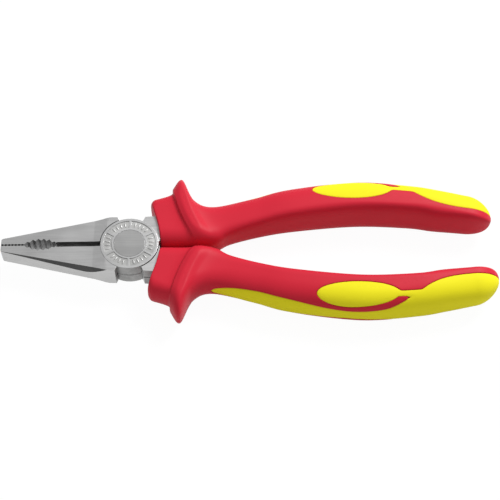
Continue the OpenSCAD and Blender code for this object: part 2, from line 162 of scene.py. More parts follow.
def table_paint():
    paint = bpy.data.materials.new("table_white")
    paint.use_nodes = True
    tree = paint.node_tree
    tree.nodes.clear()
    path = put(tree, "ShaderNodeLightPath").outputs
    seen = calc(tree, "MAXIMUM", path["Is Camera Ray"], path["Is Glossy Ray"])
    seen = calc(tree, "MAXIMUM", seen, path["Is Transmission Ray"])
    share = calc(tree, "MULTIPLY", seen, 1 - SHADOW_SHARE)
    grey = calc(tree, "MULTIPLY_ADD", seen, TABLE_SEEN - TABLE_BOUNCE, TABLE_BOUNCE)
    matt = put(tree, "ShaderNodeBsdfDiffuse", {"Color": grey}).outputs[0]
    glow = put(tree, "ShaderNodeEmission", {"Color": (1, 1, 1, 1), "Strength": TABLE_GLOW}).outputs[0]
    mixed = put(tree, "ShaderNodeMixShader", {0: share, 1: matt, 2: glow}).outputs[0]
    put(tree, "ShaderNodeOutputMaterial", {"Surface": mixed})
    return paint


def soft_lamp(name, offset, size, watts):
    lamp = bpy.data.lights.new(name, "AREA")
    lamp.shape = "SQUARE"
    lamp.size = size
    lamp.energy = watts
    holder = bpy.data.objects.new(name, lamp)
    holder.location = aim + Vector(offset)
    holder.rotation_mode = "QUATERNION"
    holder.rotation_quaternion = (-Vector(offset)).to_track_quat("-Z", "Y")
    bpy.context.scene.collection.objects.link(holder)


table_mesh = bpy.data.meshes.new("table")
table_mesh.from_pydata([(x, y, cad_low.z - TABLE_DROP) for x, y in
                        ((-TABLE_HALF, -TABLE_HALF), (TABLE_HALF, -TABLE_HALF),
                         (TABLE_HALF, TABLE_HALF), (-TABLE_HALF, TABLE_HALF))], [], [(0, 1, 2, 3)])
table_mesh.materials.append(table_paint())
table = bpy.data.objects.new("table", table_mesh)
bpy.context.scene.collection.objects.link(table)

soft_lamp("key_lamp", KEY_PLACE, KEY_SIZE, KEY_WATTS)
world = bpy.data.worlds.new("studio")
bpy.context.scene.world = world
world.use_nodes = True
world.node_tree.nodes["Background"].inputs["Color"].default_value = (1, 1, 1, 1)
world.node_tree.nodes["Background"].inputs["Strength"].default_value = SKY_LEVEL
bpy.context.scene.view_settings.view_transform = "Standard"
print("key lamp watts:", KEY_WATTS, "sky:", SKY_LEVEL)

# %% [markdown]
# ## Shared surface effects
# Moulded plastic and ground steel are never one even tone. Three effects are shared as node groups:
# a fine pebble grain, broad uneven tone from handling, and straight lines from a grinding belt. Each
# group gives only values, and every material decides where they go.


# %% Shared shader groups
def fine_grain_group():
    tree, given, out = open_group(
        "fine_grain", "ShaderNodeTree",
        [("Place", "NodeSocketVector", None), ("Grains per metre", "NodeSocketFloat", 2200.0)],
        [("Height", "NodeSocketFloat"), ("Speckle", "NodeSocketFloat")])
    pebbles = put(tree, "ShaderNodeTexVoronoi",
                  {"Vector": given["Place"], "Scale": given["Grains per metre"]}, feature="SMOOTH_F1")
    rough = put(tree, "ShaderNodeTexNoise", {"Vector": given["Place"], "Detail": 3.0,
                                             "Scale": calc(tree, "MULTIPLY", given["Grains per metre"], 0.6)})
    dips = calc(tree, "MULTIPLY", pebbles.outputs["Distance"], -0.6)
    height = calc(tree, "ADD", dips, rough.outputs["Fac"])
    tree.links.new(height, out.inputs["Height"])
    tree.links.new(rough.outputs["Fac"], out.inputs["Speckle"])
    return tree


def handling_group():
    tree, given, out = open_group(
        "handling_tone", "ShaderNodeTree",
        [("Place", "NodeSocketVector", None), ("Patch size", "NodeSocketFloat", 0.02)],
        [("Tone", "NodeSocketFloat"), ("Scuffs", "NodeSocketFloat")])
    scale = calc(tree, "DIVIDE", 1.0, given["Patch size"])
    cloud = put(tree, "ShaderNodeTexNoise", {"Vector": given["Place"], "Scale": scale, "Detail": 4.0})
    streak = put(tree, "ShaderNodeMapping", {"Vector": given["Place"], "Scale": (0.25, 3.0, 3.0)})
    fine = put(tree, "ShaderNodeTexNoise", {"Vector": streak.outputs[0], "Detail": 6.0, "Roughness": 0.7,
                                            "Scale": calc(tree, "MULTIPLY", scale, 3.0)})
    scuffs = put(tree, "ShaderNodeMapRange", {0: fine.outputs["Fac"], 1: 0.58, 2: 0.74})
    tree.links.new(cloud.outputs["Fac"], out.inputs["Tone"])
    tree.links.new(scuffs.outputs[0], out.inputs["Scuffs"])
    return tree


def grind_group():
    tree, given, out = open_group(
        "grind_lines", "ShaderNodeTree",
        [("Place", "NodeSocketVector", None), ("Lines per metre", "NodeSocketFloat", 2600.0)],
        [("Height", "NodeSocketFloat"), ("Tone", "NodeSocketFloat")])
    along = put(tree, "ShaderNodeMapping", {"Vector": given["Place"], "Scale": (0.02, 1.0, 1.0)})
    lines = put(tree, "ShaderNodeTexNoise", {"Vector": along.outputs[0], "Scale": given["Lines per metre"],
                                             "Detail": 3.0, "Roughness": 0.6})
    broad = put(tree, "ShaderNodeTexNoise", {"Vector": along.outputs[0], "Detail": 2.0,
                                             "Scale": calc(tree, "MULTIPLY", given["Lines per metre"], 0.22)})
    tone = calc(tree, "ADD", calc(tree, "MULTIPLY", lines.outputs["Fac"], 0.6),
                calc(tree, "MULTIPLY", broad.outputs["Fac"], 0.4))
    tree.links.new(lines.outputs["Fac"], out.inputs["Height"])
    tree.links.new(tone, out.inputs["Tone"])
    return tree


fine_grain = fine_grain_group()
handling_tone = handling_group()
grind_lines = grind_group()
print("groups:", fine_grain.name, handling_tone.name, grind_lines.name)


# %% Helpers that start a material
def start_material(name, metallic, **constants):
    made = bpy.data.materials.new(name)
    made.use_nodes = True
    tree = made.node_tree
    shader = tree.nodes["Principled BSDF"]
    shader.inputs["Metallic"].default_value = metallic
    for socket, value in constants.items():
        shader.inputs[socket.replace("_", " ")].default_value = value
    place = put(tree, "ShaderNodeTexCoord").outputs["Object"]
    return made, tree, shader, place


def use_group(tree, group, **inputs):
    node = tree.nodes.new("ShaderNodeGroup")
    node.node_tree = group
    for name, value in inputs.items():
        key = name.replace("_", " ")
        if isinstance(value, bpy.types.NodeSocket):
            tree.links.new(value, node.inputs[key])
        else:
            node.inputs[key].default_value = value
    return node.outputs


def blend_colour(tree, share, first, second):
    mix = put(tree, "ShaderNodeMix", {0: share}, data_type="RGBA")
    for key, value in ((6, first), (7, second)):
        if isinstance(value, bpy.types.NodeSocket):
            tree.links.new(value, mix.inputs[key])
        else:
            mix.inputs[key].default_value = (*value, 1)
    return mix.outputs[2]


def spread(tree, value, low, high):
    return put(tree, "ShaderNodeMapRange", {0: value, 1: 0.25, 2: 0.75, 3: low, 4: high}).outputs[0]


def raise_surface(tree, shader, height, strength, distance):
    bump = put(tree, "ShaderNodeBump", {"Height": height, "Strength": strength, "Distance": distance})
    tree.links.new(bump.outputs[0], shader.inputs["Normal"])


# %% [markdown]
# ## Steel finishes
# The jaws and joint are belt ground and then nickel plated to a satin grey, so faint lines run along
# the tool. Teeth, slot and relief are left as they came from the die and the broach: darker and dull.
# The near-black of the relief is also painted shade, on the chamfer and in the slit of the flat jaws.
# The walls that face us get a darker, slightly rougher copy of the ground steel as painted shade. The
# disc walls in the notch keep a dark forged skin that is also painted shade for the notch, and painted
# shade turns them near-black at the seam between the two joint discs.


# %% Steel materials
def ground_steel(name, colour, rough):
    made, tree, shader, place = start_material(name, 1.0)
    lines = use_group(tree, grind_lines, Place=place)
    tone = use_group(tree, handling_tone, Place=place, Patch_size=0.012)
    dull = tuple(c * 0.80 for c in colour)
    base = blend_colour(tree, spread(tree, lines["Tone"], 0.0, 1.0), dull, colour)
    tree.links.new(base, shader.inputs["Base Color"])
    polish = calc(tree, "ADD", spread(tree, tone["Tone"], rough - 0.05, rough + 0.05),
                  calc(tree, "MULTIPLY", lines["Tone"], 0.08))
    tree.links.new(polish, shader.inputs["Roughness"])
    raise_surface(tree, shader, lines["Height"], 0.10, 0.02 * MM)
    return made


def raw_steel(name, colour, rough, seam_height=None):
    made, tree, shader, place = start_material(name, 0.85)
    grain = use_group(tree, fine_grain, Place=place, Grains_per_metre=1800.0)
    tone = use_group(tree, handling_tone, Place=place, Patch_size=0.005)
    light = tuple(c * 1.7 for c in colour)
    base = blend_colour(tree, spread(tree, tone["Tone"], 0.0, 1.0), colour, light)
    # Painted shade: the steel turns near-black within a fraction of a millimetre of the seam height, where
    # the two discs meet.
    if seam_height is not None:
        height = put(tree, "ShaderNodeSeparateXYZ", {0: place}).outputs[2]
        away = calc(tree, "ABSOLUTE", calc(tree, "SUBTRACT", height, seam_height))
        away_from_seam_shade = put(tree, "ShaderNodeMapRange", {0: away, 1: 0.10 * MM, 2: 0.45 * MM}).outputs[0]
        base = blend_colour(tree, away_from_seam_shade, seam_shade_black, base)
    tree.links.new(base, shader.inputs["Base Color"])
    tree.links.new(spread(tree, grain["Speckle"], rough - 0.08, rough + 0.08), shader.inputs["Roughness"])
    raise_surface(tree, shader, grain["Height"], 0.25, 0.05 * MM)
    return made


# Near-black colour of the painted shade in the seam between the two joint discs.
seam_shade_black = (0.02, 0.02, 0.02)
satin_steel = ground_steel("satin_steel", (0.70, 0.70, 0.70), 0.34)
rivet_steel = ground_steel("rivet_face", (0.56, 0.56, 0.557), 0.31)
die_steel = raw_steel("die_steel", (0.21, 0.21, 0.21), 0.45)
ring_steel = raw_steel("ring_floor", (0.34, 0.34, 0.335), 0.50)
# Near-black die skin of the relief, also painted shade on the chamfer and in the slit of the flat jaws.
relief_steel = raw_steel("relief_steel", (0.065, 0.065, 0.065), 0.42)
stud_steel = raw_steel("stud_steel", (0.40, 0.40, 0.395), 0.55)
# Dark forged skin of the disc walls in the notch, also painted shade for the notch, with the painted seam
# shade.
forged_steel = raw_steel("forged_steel", (0.24, 0.24, 0.237), 0.46, pivot.z)
# Darker, slightly rougher copy of the ground steel for the walls that face us: painted shade.
wall_steel = ground_steel("wall_steel", (0.60, 0.60, 0.597), 0.38)
steel_finishes = (satin_steel, die_steel, ring_steel, relief_steel, forged_steel, wall_steel)
print("steel finishes:", rivet_steel.name, stud_steel.name, *(m.name for m in steel_finishes))

# %% [markdown]
# ## Plastic finishes
# The red shell is a hard moulding with a satin, faintly pebbled skin. The yellow zone is softer and
# duller. Dust gathers along the line where the two meet, so both read a seam value from the mesh.


# %% Plastic materials
def moulded(name, colour, shade, rough, gloss, grains):
    made, tree, shader, place = start_material(name, 0.0, Specular_IOR_Level=gloss)
    grain = use_group(tree, fine_grain, Place=place, Grains_per_metre=grains)
    tone = use_group(tree, handling_tone, Place=place, Patch_size=0.025)
    seam = put(tree, "ShaderNodeAttribute", attribute_name="seam").outputs["Fac"]
    base = blend_colour(tree, spread(tree, tone["Tone"], 0.0, 0.35), colour, shade)
    base = blend_colour(tree, calc(tree, "MULTIPLY", seam, 0.35), base, shade)
    tree.links.new(base, shader.inputs["Base Color"])
    worn = calc(tree, "MULTIPLY", tone["Scuffs"], -0.06)
    tree.links.new(calc(tree, "ADD", spread(tree, grain["Speckle"], rough - 0.04, rough + 0.04), worn),
                   shader.inputs["Roughness"])
    raise_surface(tree, shader, grain["Height"], 0.12, 0.04 * MM)
    return made


red_shell = moulded("red_shell", (0.64, 0.021, 0.043), (0.50, 0.013, 0.031), 0.46, 0.12, 2600.0)
yellow_soft = moulded("yellow_soft", (0.88, 0.80, 0.018), (0.78, 0.70, 0.018), 0.58, 0.06, 3200.0)
natural_liner = moulded("natural_liner", (0.72, 0.68, 0.58), (0.60, 0.55, 0.45), 0.50, 0.30, 1800.0)
print("plastic finishes:", red_shell.name, yellow_soft.name, natural_liner.name)

# %% [markdown]
# ## Grip sections
# A grip is one skin swept through twelve sections, from the collar over the guard to the round tail.
# It could be modelled by hand with a subdivided cage, but the moulding follows a rule: each section
# runs from an inner to an outer edge, is squarish inside where the fingers pull, and is rounded
# outside for the palm. So rows of sizes in millimetres, measured from the rivet, say it all.

# %% Sizes of the grip, in millimetres from the rivet
handle_length = (cad_high.x - pivot.x) / MM
land = (pivot.z - cad_low.z) / MM
seam_gap = 0.8
squareness, outer_squareness = 4.0, 2.5
collar_start, collar_lead, collar_sweep = 11.2, 4.8, 0.8
collar_reach, collar_foot, collar_half = 19.3, 22.0, 6.2
guard_reach, guard_half, guard_sweep = 28.7, 8.4, 2.2
throat_x, throat_inner, throat_outer, throat_half = 34.6, 3.7, 17.2, 6.1
rise_inner, rise_width, rise_half = 10.9, 13.5, 7.6
bow_x, bow_inner, bow_outer, bow_half = handle_length - 50.5, 13.5, 27.5, 8.3
fall_inner, fall_width = 13.0, 13.0
tail_x, tail_inner, tail_width, tail_half = handle_length - 10, 10.3, 11.8, 7.2
tail_turn = 3.6
foot_x = 21.6
crest_in_x = (foot_x + throat_x) / 2 - 0.5
crest_out_x = crest_in_x - 9
rise_x = (throat_x + bow_x) / 2
fall_x = (bow_x + tail_x) / 2
print("grip from", collar_start - collar_lead, "to", round(handle_length, 1), "mm behind the rivet")

# %% Rows: inner x, inner y, outer x, outer y, half thickness, outer rounding, squareness, sweep
grip_rows = np.array([
    (collar_start, seam_gap / 2, collar_start - collar_lead, collar_reach, collar_half, 5,
     0.62 * squareness, collar_sweep),
    (foot_x, seam_gap / 2, foot_x - collar_lead - 2.6, collar_foot, collar_half, 5,
     0.62 * squareness, -guard_sweep * 0.3),
    ((foot_x + crest_in_x) / 2, seam_gap / 2, crest_out_x - 3.4, guard_reach - 3.9,
     (collar_half + guard_half) / 2 + 0.2, 8, 0.75 * squareness, -guard_sweep * 0.7),
    (crest_in_x, seam_gap / 2 + 0.3, crest_out_x, guard_reach, guard_half, 11,
     0.75 * squareness, -guard_sweep),
    (throat_x - 2.4, throat_inner - 2, throat_x - 11.8, throat_outer + 2.8, throat_half + 0.5, 9,
     0.85 * squareness, -guard_sweep * 0.5),
    (throat_x + 2, throat_inner + 0.7, throat_x - 4.6, throat_outer, throat_half, 8, squareness, 0),
    (rise_x - 12, (throat_inner + rise_inner) / 2 + 0.6, rise_x - 14,
     (throat_outer + rise_inner + rise_width) / 2, (throat_half + rise_half) / 2 - 0.2, 8.5, squareness, 0),
    (rise_x + 1, rise_inner, rise_x - 1, rise_inner + rise_width, rise_half, 9, squareness, 0),
    (bow_x, bow_inner, bow_x, bow_outer, bow_half, 9, squareness, 0),
    (fall_x - 0.5, fall_inner, fall_x + 0.5, fall_inner + fall_width, bow_half - 0.1, 9, squareness, 0),
    ((fall_x + tail_x) / 2 - 1, (fall_inner + tail_inner) / 2 - 0.4, (fall_x + tail_x) / 2 + 1,
     (fall_inner + fall_width + tail_inner + tail_width) / 2, (bow_half + tail_half) / 2 + 0.1, 8,
     squareness, 0),
    (tail_x - 0.8, tail_inner, tail_x + 0.8, tail_inner + tail_width, tail_half, 9, squareness, 0)])


def smooth_row(rows, t):
    i = min(int(t), len(rows) - 2)
    b, c = rows[i], rows[i + 1]
    a = rows[i - 1] if i > 0 else 2 * b - c
    d = rows[i + 2] if i + 2 < len(rows) else 2 * c - b
    u = t - i
    return 0.5 * (2 * b + (c - a) * u + (2 * a - 5 * b + 4 * c - d) * u ** 2
                  + (3 * b - a - 3 * c + d) * u ** 3)


print("rows:", len(grip_rows))

# %% [markdown]
# The collar's front edge is rounded by a few extra sections that step in as they come forward, its
# outer corner is cut to a quarter circle, and the tail is closed by sections that shrink like a dome.

# %% All stations of the skin
SPAN_STEPS = 16
FRONT_ROUND = 0.6
FRONT_STEPS = 8
CORNER_ROUND = 2.8
END_STEPS = 22


def collar_row(back, inset):
    row = smooth_row(grip_rows, back / (foot_x - collar_start))
    left = max(CORNER_ROUND - back, 0)
    chord = row[2:4] - row[0:2]
    row[2:4] -= chord / np.linalg.norm(chord) * (CORNER_ROUND - math.sqrt(CORNER_ROUND ** 2 - left ** 2))
    return (*row, inset)


stations = []
for k in range(FRONT_STEPS):
    angle = math.pi / 2 * (1 - k / FRONT_STEPS)
    stations.append(collar_row(FRONT_ROUND * (1 - math.sin(angle)), FRONT_ROUND * (1 - math.cos(angle))))
for k in range((len(grip_rows) - 1) * SPAN_STEPS + 1):
    back = k / SPAN_STEPS * (foot_x - collar_start)
    if back > FRONT_ROUND:
        stations.append(collar_row(back, 0.0))
last = grip_rows[-1]
lean = (last[2] - last[0]) / 2
for k in range(1, END_STEPS):
    angle = math.pi / 2 * k / (END_STEPS - 0.6)
    share, s = math.cos(angle), math.sin(angle)
    x = last[2] + (handle_length - last[2]) * s + lean * (s - 1)
    middle = (last[1] + last[3]) / 2 - tail_turn * s * (0.4 + 0.6 * s)
    half_chord = (last[3] - last[1]) / 2 * share
    stations.append((min(x - lean * share, handle_length), middle - half_chord,
                     min(x + lean * share, handle_length), middle + half_chord,
                     last[4] * share, last[5] * share, last[6], 0.0, 0.0))
stations = np.array(stations)
print("stations:", len(stations))

# %% [markdown]
# A Geometry Nodes tree turns the stations into a skin. The stations are points of a rail with their
# sizes as attributes; Curve to Mesh gives a tube with one ring for each station, and Set Position
# moves every point to where the section rule wants it.


# %% Geometry Nodes tree for the sections
def attribute_field(tree, name, kind="FLOAT"):
    node = put(tree, "GeometryNodeInputNamedAttribute", {"Name": name}, data_type=kind)
    return next(o for o in node.outputs if o.enabled and o.name == "Attribute")


def vector_calc(tree, operation, *values):
    node = put(tree, "ShaderNodeVectorMath", dict(enumerate(values)), operation=operation)
    return node.outputs["Value"] if operation in ("DISTANCE", "LENGTH") else node.outputs["Vector"]


def section_tree():
    tree, given, out = open_group(
        "grip_sections", "GeometryNodeTree",
        [("Rail", "NodeSocketGeometry", None), ("Sides", "NodeSocketInt", 64),
         ("Land", "NodeSocketFloat", 0.009), ("Land easing", "NodeSocketFloat", 0.0003),
         ("Heel easing", "NodeSocketFloat", 0.0015), ("Outer squareness", "NodeSocketFloat", 2.0),
         ("Finish", "NodeSocketMaterial", None)],
        [("Skin", "NodeSocketGeometry")])
    rail = put(tree, "GeometryNodeMeshToCurve", {"Mesh": given["Rail"]}).outputs[0]
    circle = put(tree, "GeometryNodeCurvePrimitiveCircle", {"Resolution": given["Sides"], "Radius": 0.001})
    spoke = calc(tree, "MULTIPLY", put(tree, "GeometryNodeInputIndex").outputs[0], 1.0)
    profile = put(tree, "GeometryNodeStoreNamedAttribute",
                  {"Geometry": circle.outputs[0], "Name": "spoke", "Value": spoke}, domain="POINT")
    tube = put(tree, "GeometryNodeCurveToMesh", {"Curve": rail, "Profile Curve": profile.outputs[0]})
    full_turns = calc(tree, "MULTIPLY", attribute_field(tree, "spoke"), 2 * math.pi)
    turn = calc(tree, "DIVIDE", full_turns, given["Sides"])
    c, s = calc(tree, "COSINE", turn), calc(tree, "SINE", turn)
    inner = attribute_field(tree, "inner", "FLOAT_VECTOR")
    outer = attribute_field(tree, "outer", "FLOAT_VECTOR")
    inset = attribute_field(tree, "inset")
    span = vector_calc(tree, "DISTANCE", inner, outer)
    width = calc(tree, "SUBTRACT", span, calc(tree, "MULTIPLY", inset, 2.0))
    half = calc(tree, "SUBTRACT", attribute_field(tree, "half"), inset)
    rim = attribute_field(tree, "rim")
    flat = calc(tree, "SUBTRACT", width, rim)
    power = attribute_field(tree, "square")

    def reach_of(power):
        far = calc(tree, "ADD", calc(tree, "POWER", calc(tree, "ABSOLUTE", c), power),
                   calc(tree, "POWER", calc(tree, "ABSOLUTE", s), power))
        return calc(tree, "POWER", far, calc(tree, "DIVIDE", -1.0, power))

    reach = reach_of(power)
    inner_q = calc(tree, "MULTIPLY", flat, calc(tree, "ADD", 1.0, calc(tree, "MULTIPLY", c, reach)))
    heel = calc(tree, "SMOOTH_MIN", flat, half, given["Heel easing"])
    left = calc(tree, "MAXIMUM", 0.0, calc(tree, "SUBTRACT", 1.0, calc(tree, "DIVIDE", inner_q, heel)))
    rise = calc(tree, "MAXIMUM", 0.0, calc(tree, "SUBTRACT", 1.0, calc(tree, "POWER", left, power)))
    inner_lift = calc(tree, "MULTIPLY", calc(tree, "SIGN", s),
                      calc(tree, "POWER", rise, calc(tree, "DIVIDE", 1.0, power)))
    outer_reach = reach_of(given["Outer squareness"])
    outer_q = calc(tree, "MULTIPLY_ADD", calc(tree, "MULTIPLY", rim, c), outer_reach, flat)
    outer_lift = calc(tree, "MULTIPLY", s, outer_reach)
    outside = calc(tree, "GREATER_THAN", c, 0.0)
    q = put(tree, "ShaderNodeMix", {0: outside, 2: inner_q, 3: outer_q}).outputs[0]
    lift = put(tree, "ShaderNodeMix", {0: outside, 2: inner_lift, 3: outer_lift}).outputs[0]
    z = calc(tree, "MULTIPLY", half, lift)
    z = calc(tree, "SMOOTH_MIN", z, given["Land"], given["Land easing"])
    z = calc(tree, "SMOOTH_MAX", z, calc(tree, "MULTIPLY", given["Land"], -1.0), given["Land easing"])
    along = calc(tree, "DIVIDE", calc(tree, "ADD", q, inset), span)
    arch = calc(tree, "MULTIPLY", calc(tree, "MULTIPLY", along, 4.0), calc(tree, "SUBTRACT", 1.0, along))
    bulge = calc(tree, "MULTIPLY", attribute_field(tree, "sweep"), arch)
    chord = vector_calc(tree, "MULTIPLY", vector_calc(tree, "SUBTRACT", outer, inner),
                        put(tree, "ShaderNodeCombineXYZ", {0: along, 1: along, 2: along}).outputs[0])
    shift = put(tree, "ShaderNodeCombineXYZ", {0: bulge, 2: z}).outputs[0]
    spot = vector_calc(tree, "ADD", vector_calc(tree, "ADD", inner, chord), shift)
    moved = put(tree, "GeometryNodeSetPosition", {"Geometry": tube.outputs[0], "Position": spot})
    plain = put(tree, "GeometryNodeRealizeInstances", {0: moved.outputs[0]})
    painted = put(tree, "GeometryNodeSetMaterial",
                  {"Geometry": plain.outputs[0], "Material": given["Finish"]})
    tree.links.new(painted.outputs[0], out.inputs["Skin"])
    return tree


def run_tree(name, tree, mesh, **values):
    holder = bpy.data.objects.new(name, mesh)
    bpy.context.scene.collection.objects.link(holder)
    modifier = holder.modifiers.new(name, "NODES")
    modifier.node_group = tree
    for item in tree.interface.items_tree:
        key = item.name.replace(" ", "_")
        if item.item_type == "SOCKET" and item.in_out == "INPUT" and key in values:
            modifier[item.identifier] = values[key]
    ready = holder.evaluated_get(bpy.context.evaluated_depsgraph_get())
    made = bpy.data.meshes.new_from_object(ready)
    holder.modifiers.clear()
    bpy.data.objects.remove(holder)
    return made


print("section tree ready")

# %% Sweep the skin
SIDES = 160
LAND_EASING = 0.3 * MM


def to_row(points):
    return np.asarray(points, float) * MM + np.array(pivot)


rail = bpy.data.meshes.new("grip_rail")
flat_rail = np.column_stack((stations[:, 0:2], np.zeros(len(stations))))
rail.from_pydata(to_row(flat_rail), [(k, k + 1) for k in range(len(stations) - 1)], [])
for name, columns in (("inner", (0, 1)), ("outer", (2, 3))):
    ends = to_row(np.column_stack((stations[:, columns], np.zeros(len(stations)))))
    rail.attributes.new(name, "FLOAT_VECTOR", "POINT").data.foreach_set("vector", ends.ravel())
for name, column in (("half", 4), ("rim", 5), ("sweep", 7), ("inset", 8)):
    rail.attributes.new(name, "FLOAT", "POINT").data.foreach_set("value", stations[:, column] * MM)
rail.attributes.new("square", "FLOAT", "POINT").data.foreach_set("value", stations[:, 6])
numbers = np.arange(len(stations), dtype=float)
rail.attributes.new("station", "FLOAT", "POINT").data.foreach_set("value", numbers)

swept = run_tree("grip_skin", section_tree(), rail, Sides=SIDES, Land=land * MM,
                 Land_easing=LAND_EASING, Outer_squareness=outer_squareness, Finish=red_shell)


def read_points(mesh, name=None):
    source = mesh.vertices if name is None else mesh.attributes[name].data
    values = np.zeros(len(mesh.vertices) * (3 if name is None else 1))
    source.foreach_get("co" if name is None else "value", values)
    return values.reshape(-1, 3) if name is None else values


order = np.lexsort((read_points(swept, "spoke"), read_points(swept, "station")))
skin_points = ((read_points(swept) - np.array(pivot)) / MM)[order]
print("skin points:", len(skin_points), "range:", skin_points.min(0).round(2), skin_points.max(0).round(2))

# %% [markdown]
# The swept points become one closed skin of triangles: a folded cover in front, a pole at the tail.
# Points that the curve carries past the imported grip's box are pressed back onto it.

# %% Close the skin
grip_low, grip_high = ((np.array(c) - np.array(pivot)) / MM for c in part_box("upper_grip"))
inlay_low, inlay_high = ((np.array(c) - np.array(pivot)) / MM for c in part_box("upper_inlay"))
skin_points = np.clip(skin_points, np.minimum(grip_low, inlay_low), np.maximum(grip_high, inlay_high))
rings = len(skin_points) // SIDES


def skin_faces():
    faces = [(SIDES - 1, 1, 0), (SIDES // 2 + 1, SIDES // 2, SIDES // 2 - 1)]
    for k in range(1, SIDES // 2 - 1):
        faces.append((SIDES - k, SIDES - k - 1, k + 1))
        faces.append((SIDES - k, k + 1, k))
    for k in range(rings - 1):
        for i in range(SIDES):
            a, b = k * SIDES + i, k * SIDES + (i + 1) % SIDES
            faces.append((a, b, b + SIDES))
            faces.append((a, b + SIDES, a + SIDES))
    tail = (rings - 1) * SIDES
    faces += [(tail + i, tail + (i + 1) % SIDES, rings * SIDES) for i in range(SIDES)]
    return np.array(faces)


def point_normals(points, faces):
    corners = points[faces]
    tilt = np.cross(corners[:, 1] - corners[:, 0], corners[:, 2] - corners[:, 0])
    total = np.zeros_like(points)
    for column in range(3):
        np.add.at(total, faces[:, column], tilt)
    return total / np.linalg.norm(total, axis=1, keepdims=True)


skin_points = np.vstack((skin_points, skin_points[-SIDES:].mean(0)))
skin_triangles = skin_faces()
skin_normals = point_normals(skin_points, skin_triangles)
print("skin triangles:", len(skin_triangles))

# %% [markdown]
# ## Where the yellow shows
# Seen from above, the soft zone is an oval thumb pad that a short neck joins to a rear pad; from the
# side it is a strip along the outside of the handle. Each outline is written as a distance that is
# negative inside it, and a soft minimum joins the three with small fillets.

# %% Outline of the yellow zone
oval_x, oval_y = bow_x - 1.5, bow_inner + 8.5
oval_long, oval_short = 29.4 / 2, 8.9 / 2
neck_half, neck_taper = 2.5 / 2, 0.8
pad_front, pad_border, pad_flare = handle_length - 29.4, 12.8, 9.3
strip_start, strip_height, strip_waist, strip_flare = 29.6, 9.4, 5.3, 13.8
FILLET = 0.2
FAR = 9.0
strip_rows = np.array([
    (strip_start - 2, 0), (strip_start, 0.2), (strip_start + 1.8, strip_height * 0.19),
    ((strip_start + rise_x) / 2 - 4, strip_height * 0.41), (rise_x - 3, strip_height / 2),
    (oval_x - 11, strip_waist / 2 + 0.55), (oval_x - 2, strip_waist / 2), (oval_x + 9, strip_waist / 2 + 1),
    (pad_front - 8.9, strip_flare / 2 - 1.75), (pad_front - 4.1, strip_flare / 2),
    (pad_front + 0.5, strip_flare / 2 + 0.6)])
strip_line = np.array([smooth_row(strip_rows, 1 + k / 8) for k in range(8 * (len(strip_rows) - 2) + 1)])


def soft_min(a, b):
    near = np.maximum(FILLET - np.abs(a - b), 0) / FILLET
    return np.minimum(a, b) - near ** 2 * FILLET / 4


def yellow_side(points):
    x, y, z = points.T
    u, v = (x - oval_x) / oval_long, (y - oval_y) / oval_short
    ring = np.maximum(np.hypot(u, v), 1e-6)
    oval = (ring - 1) * ring / np.maximum(np.hypot(u / oval_long, v / oval_short), 1e-6)
    neck_start = oval_x + oval_long - 2
    fade = np.exp(np.minimum(pad_front - x, 0) / pad_flare)
    widening = pad_border + (oval_y - neck_half - pad_border) * fade
    edge = widening + neck_taper * np.maximum(pad_front - x, 0) / (pad_front - neck_start)
    neck = np.minimum(y - oval_y - neck_half, pad_front - x)
    pad = np.maximum(np.maximum(edge - y, neck), neck_start - x)
    strip = np.abs(z) - np.interp(x, strip_line[:, 0], strip_line[:, 1])
    strip = np.where(x < strip_start, np.hypot(strip_start - x, z), strip)
    strip = np.where((y < (bow_inner + throat_outer) / 2) | (x > pad_front + 0.5), FAR, strip)
    return soft_min(soft_min(oval, pad), strip)


zone = yellow_side(skin_points)
print("yellow share of the skin points:", round(float((zone < 0).mean()), 3))

# %% [markdown]
# The red and yellow are two shots of plastic that meet in a fine rounded groove. The skin is cut a
# little to each side of the outline, each cut edge is rolled down into the groove, and both shots
# get their thickness below it. That gives two closed pieces that fit, with no boolean.


# %% Cut a skin along a level line
def cut_skin(points, normals, value, faces, level):
    eased = level + np.where(value > level, CUT_EASE, -CUT_EASE)
    value = np.where(np.abs(value - level) < CUT_EASE, eased, value)
    above = value > level
    count = above[faces].sum(1)
    upper, lower = faces[count == 3].tolist(), faces[count == 0].tolist()
    spots, made = [], {}

    def crossing(a, b):
        key = (min(a, b), max(a, b))
        if key not in made:
            t = (level - value[key[0]]) / (value[key[1]] - value[key[0]])
            made[key] = len(points) + len(spots)
            spots.append((key[0], key[1], t))
        return made[key]

    for face in faces[(count == 1) | (count == 2)]:
        sides = above[face]
        odd = int(np.argmax(sides)) if sides.sum() == 1 else int(np.argmin(sides))
        a, b, c = (int(face[(odd + k) % 3]) for k in range(3))
        ab, ca = crossing(a, b), crossing(c, a)
        alone, pair = (upper, lower) if above[a] else (lower, upper)
        alone.append((a, ab, ca))
        pair += [(ab, b, c), (ab, c, ca)]
    start, end = (np.array([s[k] for s in spots], int) for k in (0, 1))
    share = np.array([s[2] for s in spots])[:, None]
    points = np.vstack((points, points[start] * (1 - share) + points[end] * share))
    joined = normals[start] * (1 - share) + normals[end] * share
    normals = np.vstack((normals, joined / np.linalg.norm(joined, axis=1, keepdims=True)))
    value = np.concatenate((value, np.full(len(spots), level)))
    return points, normals, value, np.array(upper), np.array(lower)


def edge_loops(faces):
    steps = {(int(f[k]), int(f[(k + 1) % 3])) for f in faces for k in range(3)}
    follow = {a: b for a, b in steps if (b, a) not in steps}
    loops = []
    while follow:
        first = min(follow)
        loop = [first]
        while follow[loop[-1]] != first:
            loop.append(follow.pop(loop[-1]))
        follow.pop(loop[-1])
        loops.append(loop)
    return loops


CUT_EASE = 0.03
outline_points, _, _, outline_faces, _ = cut_skin(skin_points, skin_normals, zone, skin_triangles, 0.0)
outline = edge_loops(outline_faces)
print("outline loops:", [len(loop) for loop in outline])

